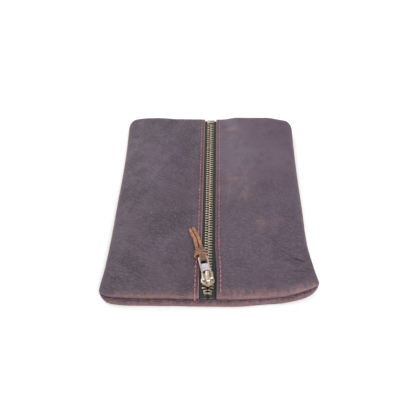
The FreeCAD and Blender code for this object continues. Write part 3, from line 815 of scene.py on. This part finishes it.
# ---- floor, camera and lights -------------------------------------------------------------------------
# the view: the point looked at, in millimetres, how far the camera stands from it, its height angle, and
# how far it's turned to the left, in degrees
LOOK_AT = (-1.1, -8.0, 5.0)
DISTANCE, ELEVATION, TURN = 477.0, 48.7, 0.87
SENSOR, LENS = 36.0, 36.0 * 1.36298077


def camera():
    """The camera, far enough away for the pouch's slight perspective."""
    data = bpy.data.cameras.new("camera")
    data.lens, data.sensor_width, data.clip_start = LENS, SENSOR, 0.01
    cam = bpy.data.objects.new("camera", data)
    bpy.context.scene.collection.objects.link(cam)
    e, a = math.radians(ELEVATION), math.radians(TURN)
    ahead = Vector((-math.sin(a) * math.cos(e), math.cos(a) * math.cos(e), -math.sin(e)))
    cam.location = (Vector(LOOK_AT) - ahead * DISTANCE) * MM
    cam.rotation_euler = ahead.to_track_quat("-Z", "Y").to_euler()
    bpy.context.scene.camera = cam


def lamp(name, where, size, power):
    """A round soft light that faces the pouch."""
    data = bpy.data.lights.new(name, "AREA")
    data.shape, data.size, data.energy = "DISK", size, power
    light = bpy.data.objects.new(name, data)
    bpy.context.scene.collection.objects.link(light)
    light.location = where
    light.rotation_euler = (-Vector(where)).to_track_quat("-Z", "Y").to_euler()


def studio():
    """The floor, an even white surround, and two soft lights: from the far left and from the near right."""
    bpy.ops.mesh.primitive_plane_add(size=6, location=(0, 0, -0.0001))
    floor = bpy.context.object
    floor.name = "floor"
    floor.data.materials.append(floor_paint())
    world = bpy.data.worlds.new("studio")
    world.use_nodes = True
    world.node_tree.nodes["Background"].inputs[0].default_value = (1, 1, 1, 1)
    world.node_tree.nodes["Background"].inputs[1].default_value = 0.68
    bpy.context.scene.world = world
    lamp("key", (-0.55, 0.75, 0.62), 0.8, 8.6)
    lamp("fill", (0.45, -0.8, 0.6), 1.0, 12.5)
    bpy.context.scene.view_settings.view_transform = "Standard"


# ---- the zip ------------------------------------------------------------------------------------------
def bead_x(y):
    """The right-hand bead's distance from the middle."""
    return np.interp(y, [p[0] for p in BEAD_BENDS], [p[1] for p in BEAD_BENDS])


def tape_section():
    """The tape's section, as (across, up) from the bead's middle: the bead, then the web's two faces."""
    bead = [(-BEAD_R * math.cos(a), BEAD_R * math.sin(a)) for a in np.linspace(-2.2, 2.2, 9)]
    over = [0.9, 1.3, 1.9, 2.6, 3.4, 4.4, 6.0, 8.5, TAPE_OUTER - BEAD_X]
    high = [0.52, 0.40, 0.33, 0.31, 0.31, 0.30, 0.30, 0.30, 0.30]
    web = list(zip(over, high))
    return bead + web + [(a, -b) for a, b in web[::-1]]


def zip_tape(side, material):
    """One tape: a bead, a thicker strip beside it and a flat web under the hide. Its ends droop a little."""
    rows, rib_pitch = 360, 1.3
    section = tape_section()
    verts = []
    for station in (TAPE_END - 0.3) * np.linspace(-1, 1, rows):
        for a, b in section:
            y = station
            x = min(float(bead_x(y)) + a, TAPE_OUTER)
            hidden = float(smooth((x - float(gap_half(y)) + 0.9) / 1.4))
            y = y - math.copysign(2.3, y) * hidden * float(smooth((abs(y) - 88) / 10))
            near_droop, far_droop = float(smooth((-96.0 - y) / 2.6)), float(smooth((y - 97.4) / 1.2))
            sag = (1 - hidden) * (3.4 * near_droop + 1.2 * far_droop)
            rib = 0.03 * math.sin(y * 2 * math.pi / rib_pitch) if b > 0 else 0.0
            verts.append((side * x, y, TAPE_MID + b + rib - sag))
    wide = len(section)
    faces = grid_faces(rows, wide, close_cols=True)
    faces += [tuple(range(wide)), tuple(range(wide * (rows - 1), wide * rows))]
    name = "tape_right" if side > 0 else "tape_left"
    return merged(mesh_object(name, verts, faces, material), 0.001)


def softened(node, width, material, segments=2):
    """A copy of a CAD node with its edges rounded as tumbling leaves them."""
    flat, sharp_from = math.radians(4), math.radians(35)
    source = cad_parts[node]
    bm = bmesh.new()
    bm.from_mesh(source.data)
    bmesh.ops.remove_doubles(bm, verts=bm.verts, dist=0.002 * MM)
    bmesh.ops.dissolve_limit(bm, angle_limit=flat, verts=bm.verts, edges=bm.edges)
    sharp = [e for e in bm.edges if len(e.link_faces) == 2 and e.calc_face_angle(0) > sharp_from]
    bmesh.ops.bevel(
        bm, geom=sharp, offset=width * MM, segments=segments, profile=0.55, affect="EDGES", clamp_overlap=True
    )
    bmesh.ops.triangulate(bm, faces=[f for f in bm.faces if len(f.verts) > 4])
    mesh = bpy.data.meshes.new("soft_" + node)
    bm.to_mesh(mesh)
    bm.free()
    return linked(mesh, material)


def stitch(place, ahead, up, long, radius, flip):
    """One stitch: two plies twisted round each other, which dive into the hide at both ends."""
    half = long / 2
    rise = [(-half - 0.25, -0.75), (-half + 0.05, -0.2), (-half * 0.55, 0.24)]
    fall = [(-a, b) for a, b in rise[::-1]]
    line = spline([(a, b * flip) for a, b in rise + [(0, 0.34)] + fall], 17)
    sides = 8  # of each ply
    across = np.cross(up, ahead)
    verts, faces = [], []
    for ply in (0, math.pi):
        start = len(verts)
        for i, (a, b) in enumerate(line):
            twist = ply + 2.3 * a
            off = radius / 2
            centre = place + ahead * a + up * (b + off * math.sin(twist)) + across * off * math.cos(twist)
            for k in range(sides):
                angle = 2 * math.pi * k / sides
                verts.append(centre + (across * math.cos(angle) + up * math.sin(angle)) * radius * 0.74)
        faces += grid_faces(len(line), sides, start, close_cols=True)
        faces += [tuple(range(start, start + sides))[::-1], tuple(range(len(verts) - sides, len(verts)))]
    return verts, faces


def stitching(name, stitches, material):
    """A row of stitches, each given as (place, ahead, up, long, radius, flip), as one piece."""
    verts, faces = [], []
    for one in stitches:
        more, sides = stitch(*one)
        faces += [tuple(i + len(verts) for i in face) for face in sides]
        verts += more
    return merged(mesh_object(name, verts, faces, material), 0.0005)


def front_row(side, column, rng):
    """The needle stitches beside the zip, along one line of the flap, and over the near lip on the left."""
    far = np.concatenate([[0], np.cumsum(np.linalg.norm(np.diff(column, axis=0), axis=1))])
    low = column[:, 2] < 8  # the points round the lips, which don't count as the middle
    top = int(np.argmin(np.abs(column[:, 1]) + low * 999))
    zero = far[top] - column[top, 1]
    row = []
    first = -25 if side < 0 else -23
    for n in range(first, 23):
        s = zero + (n + 0.5) * STITCH_PITCH
        place, beyond = (
            np.array([np.interp(s + d, far, column[:, k]) for k in range(3)])
            for d in (0, 0.4)
        )
        ahead = beyond - place
        ahead /= np.linalg.norm(ahead)
        ahead = ahead + np.array([rng.uniform(-0.035, 0.035) + 0.03 * side, 0, 0])
        ahead /= np.linalg.norm(ahead)
        up = np.cross(np.array([1.0, 0, 0]), ahead)
        up /= np.linalg.norm(up)
        row.append((place + up * 0.16, ahead, up, STITCH_SHOWN * rng.uniform(0.94, 1.06), NEEDLE_R, 1.0))
    return row


def back_row(side, rng):
    """The bobbin thread's stitches under the tape."""
    row = []
    for n in range(-23, 23):
        y = (n + 0.5) * STITCH_PITCH
        place = np.array([side * float(stitch_x(y)), y, TAPE_MID - TAPE / 2 - 0.12])
        ahead, up = np.array([0, 1.0, 0]), np.array([0, 0, 1.0])
        row.append((place, ahead, up, STITCH_LONG * rng.uniform(0.95, 1.03), BOBBIN_R, -1.0))
    return row


def seam_row(end, column, rng):
    """The end seam's stitches, on the line that the bottom of the groove between the lips takes."""
    row = []
    for n in range(-17, 18):
        x = n * STITCH_PITCH
        y = np.interp(x, column[:, 0], column[:, 1]) - end * 1.1
        z = np.interp(x, column[:, 0], column[:, 2])
        place = np.array([x, y, z])
        ahead, up = np.array([1.0, 0, 0]), np.array([0, end * 1.0, 0])
        row.append((place, ahead, up, STITCH_LONG * rng.uniform(0.95, 1.03), SEAM_R, 1.0))
    return row


# ---- pull and thong -----------------------------------------------------------------------------------
PULL_FRAME = (
    Matrix.Translation((0, BAR_Y, BAR_Z))
    @ Matrix.Rotation(math.radians(90 + PULL_YAW), 4, "Z")
    @ Matrix.Rotation(math.radians(-PULL_PITCH), 4, "Y")
)
TAIL_FRAME = (
    PULL_FRAME
    @ Matrix.Translation((TAIL_FROM, 0, TAIL_LIFT))
    @ Matrix.Rotation(math.radians(PULL_PITCH - TAIL_PITCH), 4, "Y")
)


def from_frame(points, frame_matrix, turn_only=False):
    """Points or directions from the pull's or a tail's own frame, as rows."""
    matrix = frame_matrix.to_3x3() if turn_only else frame_matrix
    return np.array([tuple(matrix @ Vector(p)) for p in np.atleast_2d(points)])


def narrow_face(frame_matrix, axis, share):
    """A test for paint: whether a face looks along the given axis, 0 or 1, of a frame."""
    back = frame_matrix.to_3x3().inverted()
    return lambda centre, normal: abs((back @ normal)[axis]) > share


def on_band(centre, normal):
    """A test for paint: whether a face is on top of the pull's plain band, between its yoke and window."""
    place = PULL_FRAME.inverted() @ centre
    return 6.7 < place.x < 13.0 and abs(place.y) < 3.0 and place.z > 0.3


def pull_rails(material):
    """The pull's two raised rails, rounded and drawn together a little at the window's end."""
    rails = []
    for side in (-1, 1):
        route = [(-0.7, 3.2, 0.25), (1.5, 3.2, 0.55), (9, 3.22, 0.62), (16, 3.18, 0.6), (18.9, 3.0, 0.35)]
        path = from_frame(spline([(u, side * v, w) for u, v, w in route], 28), PULL_FRAME)
        across = from_frame([(0, 1, 0)], PULL_FRAME, True)[0]
        section = rounded_section(1.1, 0.8, 0.38)

        def change(t, section):
            return section * (0.55 + 0.45 * math.sin(math.pi * min(max(t, 0.02), 0.98)) ** 0.35)

        rails.append(swept(f"pull_rail_{side}", path, across, section, material, change=change))
    return joined("pull_rails", rails)


def worn_strap(seed, wide_by, bow):
    """A change of section for a hand-cut strap: wider here, narrower there, and dished across."""
    rng = np.random.default_rng(seed)
    phases = rng.uniform(0, 2 * math.pi, 4)

    def change(t, section):
        wide = 1 + wide_by * (math.sin(5 * t + phases[0]) + 0.6 * math.sin(13 * t + phases[1])) / 1.6
        half = np.abs(section[:, 0]).max()
        shape = section * [wide, 1]
        shape[:, 1] += bow * ((section[:, 0] / half) ** 2 - 0.4) + 0.07 * math.sin(9 * t + phases[2])
        return shape

    return change


def thong_loop(looks):
    """The strap through the window and round the end bar, whose two runs lie together beyond it."""
    r = LOOP_MID_R
    low = [(LOOP_END - 0.3, 0, -0.98), (24.5, 0, -1.0), (22.2, 0, -1.2), (20.2, 0, -1.75)]
    angles = np.radians([-80, -120, -150, -180, -210, -240, -280])
    turn = [(THONG_BAR + r * math.cos(a), 0, r * math.sin(a)) for a in angles]
    high = [(u, v, -w) for u, v, w in low[::-1]]
    path = from_frame(spline(low + turn + high, 72), PULL_FRAME)
    across = from_frame([(0, 1, 0)], PULL_FRAME, True)[0]
    section = rounded_section(2 * LOOP_HALF, 1.62, 0.4)
    piece = swept("strap_loop", path, across, section, looks["strap"], change=worn_strap(3, 0.04, 0.0))
    paint(piece, looks["raw"], narrow_face(PULL_FRAME, 1, 0.6))
    return piece


def thong_keeper(looks):
    """The keeper: the strap's end in two crossing wraps round the loop, which bulge on the left."""
    ring = [(-2.80, -0.4), (-2.74, 1.3), (-1.9, 2.22), (0.2, 2.34), (2.6, 2.32), (4.4, 2.05), (5.45, 0.9)]
    ring += [(5.5, -0.7), (4.5, -1.9), (2.4, -2.3), (0.2, -2.3), (-1.9, -2.2), (-2.7, -1.5)]
    middle = sum(KEEPER_U) / 2 - 0.25
    wraps = []
    for name, shift, wide, skew, grow in (("near", -0.95, 3.1, 0.13, 0.0), ("far", 1.25, 2.6, -0.12, 0.12)):
        line = spline(ring + [ring[0]], 65)[:-1]
        path, across = [], []
        for v, w in line:
            lean = float(smooth((v - 1.8) / 3.4))
            top = 1.0 if w > 0 else 0.4
            u = middle + shift + skew * v * top - 0.75 * lean
            path.append((u, v * (1 - 0.02 * grow), w * (1 + grow)))
            across.append((1, 0.12 - 0.34 * lean, 0.12 * lean))
        path, across = from_frame(path, PULL_FRAME), from_frame(across, PULL_FRAME, True)

        def change(t, shape):
            turn = 2 * math.pi * t
            return shape * [1 + 0.06 * math.sin(3 * turn), 1 + 0.05 * math.sin(2 * turn + 1)]

        section = rounded_section(wide, 0.95, 0.3)
        wraps.append(swept("wrap_" + name, path, across, section, looks["strap"], closed=True, change=change))
        paint(wraps[-1], looks["raw"], narrow_face(PULL_FRAME, 0, 0.6))
    return joined("strap_keeper", wraps)


def thong_tail(name, looks, seed):
    """One tail: a hand-cut strip lying flesh side up, cut off aslant."""
    path = spline([(u, v, 0) for u, v in TAIL_ROUTES[name]], 60)
    rng = np.random.default_rng(seed)
    path[:, 1] += 0.10 * np.sin(path[:, 0] * 0.55 + rng.uniform(0, 6)) * smooth(path[:, 0] / 6)
    path[:, 2] += 0.16 * np.sin(path[:, 0] * 0.42 + rng.uniform(0, 6)) * smooth(path[:, 0] / 8)
    roll = 0.10 * np.sin(path[:, 0] * 0.3 + rng.uniform(0, 6))
    across = np.stack([0 * roll, np.cos(roll), np.sin(roll)], axis=1)
    path, across = from_frame(path, TAIL_FRAME), from_frame(across, TAIL_FRAME, True)
    shape = worn_strap(seed, 0.06, 0.10)

    def change(t, section):
        section = shape(t, section)
        tip = float(smooth((t - 0.93) / 0.07))
        return section * [1 - 0.10 * tip, 1 - 0.25 * tip]

    section = rounded_section(2.35, 1.7, 0.35)
    piece = swept(name.replace("thong", "strap"), path, across, section, looks["flesh"], change=change)
    paint(piece, looks["raw"], narrow_face(TAIL_FRAME, 1, 0.62))
    return piece


# ---- putting it together ------------------------------------------------------------------------------
def add(piece, body, slot, *nodes):
    """A piece that rides on a body and stands for CAD nodes, which are hidden; the slot is not used."""
    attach(piece, body)
    if nodes:
        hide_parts(*nodes)


def pouch(looks):
    """The leather and all that's sewn into it."""
    wrap, stitch_lines = leather(looks["hide"], looks["cut"])
    add(wrap, "pouch", "hide", "leather_body")
    rng = np.random.default_rng(9)
    for side, word in ((-1, "left"), (1, "right")):
        add(zip_tape(side, looks["tape"]), "pouch", "zip_tape", f"zip_tape_{word}")
        row = front_row(side, stitch_lines[side], rng)
        needle = stitching(f"needle_stitches_{word}", row, looks["thread"])
        add(needle, "pouch", "thread", f"needle_thread_{word}")
        bobbin = stitching(f"bobbin_stitches_{word}", back_row(side, rng), looks["thread"])
        add(bobbin, "pouch", "thread", f"bobbin_thread_{word}")
        add(softened(f"zip_teeth_{word}", 0.2, looks["chain"]), "pouch", "zip_chain", f"zip_teeth_{word}")
        add(softened(f"top_stop_{word}", 0.35, looks["chain"], 3), "pouch", "zip_chain", f"top_stop_{word}")
    add(softened("bottom_stop", 0.4, looks["chain"], 3), "pouch", "zip_chain", "bottom_stop")
    for word, end in (("near", -1), ("far", 1)):
        lines = []
        for side in (-1, 1):
            x = side * np.linspace(0, 78, 40)
            near, far = plan_ends(side, x)
            y = near + LIP + GROOVE if end < 0 else far - LIP - GROOVE
            z = FOLD_Z + lifted(side, x, y)
            lines += list(zip(x, y, z))
        column = np.array(sorted(lines))
        seam = stitching(f"seam_stitches_{word}", seam_row(-end, column, rng), looks["dark thread"])
        add(seam, "pouch", "thread", f"{word}_seam_thread")


def slider_and_pull(looks):
    """The slider, its locking pin, the pull and the thong."""
    add(softened("slider_body", 0.32, looks["slider plate"], 3), "slider", "slider_metal", "slider_body")
    add(softened("slider_cap", 0.3, looks["slider"], 3), "slider", "slider_metal", "slider_cap")
    add(softened("locking_pin", 0.1, looks["steel"], 2), "lock", "steel", "locking_pin")
    tab = softened("pull_tab", 0.28, looks["slider"], 3)
    # the band on top of the pull gets a painted reflection
    paint(tab, looks["band"], on_band)
    add(tab, "pull", "slider_metal", "pull_tab")
    add(pull_rails(looks["slider"]), "pull", "slider_metal")
    add(thong_loop(looks), "thong", "thong_hide", "thong_loop")
    add(thong_keeper(looks), "thong", "thong_hide", "thong_keeper")
    for seed, name in ((5, "thong_tail_left"), (8, "thong_tail_right")):
        add(thong_tail(name, looks, seed), "thong", "thong_hide", name)


def finishes():
    """Every material, by a short name."""
    slider = (rgb(214, 199, 182), rgb(130, 112, 94))
    plate = (rgb(204, 189, 172), rgb(124, 106, 88))
    return {
        "hide": hide("waxed_hide", rgb(82, 66, 80), rgb(92, 77, 94), rgb(43, 32, 38), rgb(127, 93, 91)),
        "cut": cut_hide(),
        "tape": tape_cloth(),
        "chain": metal("chain_brass", rgb(184, 169, 148), rgb(60, 49, 39), 0.30, 0.6, painted_side_shade=0.9),
        "slider": metal("slider_brass", *slider, 0.30, 0.5, painted_side_shade=0.35),
        "slider plate": metal("slider_plate_brass", *plate, 0.30, 0.5, SLIDER_PAINTED_SHADE, painted_side_shade=0.6),
        # the pull's band: a grey-lilac painted reflection on the brass
        "band": metal("band_painted_reflection", rgb(212, 204, 214), rgb(176, 166, 172), 0.42, 0.6),
        "steel": steel(),
        "thread": thread("seam_thread", rgb(188, 112, 122), rgb(142, 79, 89), rgb(124, 80, 86)),
        "dark thread": thread("dark_thread", rgb(84, 54, 60), rgb(60, 38, 42), rgb(52, 36, 38)),
        "strap": strap_hide("strap_grain", rgb(84, 62, 58), rgb(112, 82, 70)),
        "flesh": strap_hide("strap_flesh", rgb(168, 118, 92), rgb(116, 76, 58)),
        "raw": strap_hide("strap_edge", rgb(204, 152, 112), rgb(158, 104, 66)),
    }


def main():
    looks = finishes()
    camera()
    studio()
    pouch(looks)
    slider_and_pull(looks)


main()
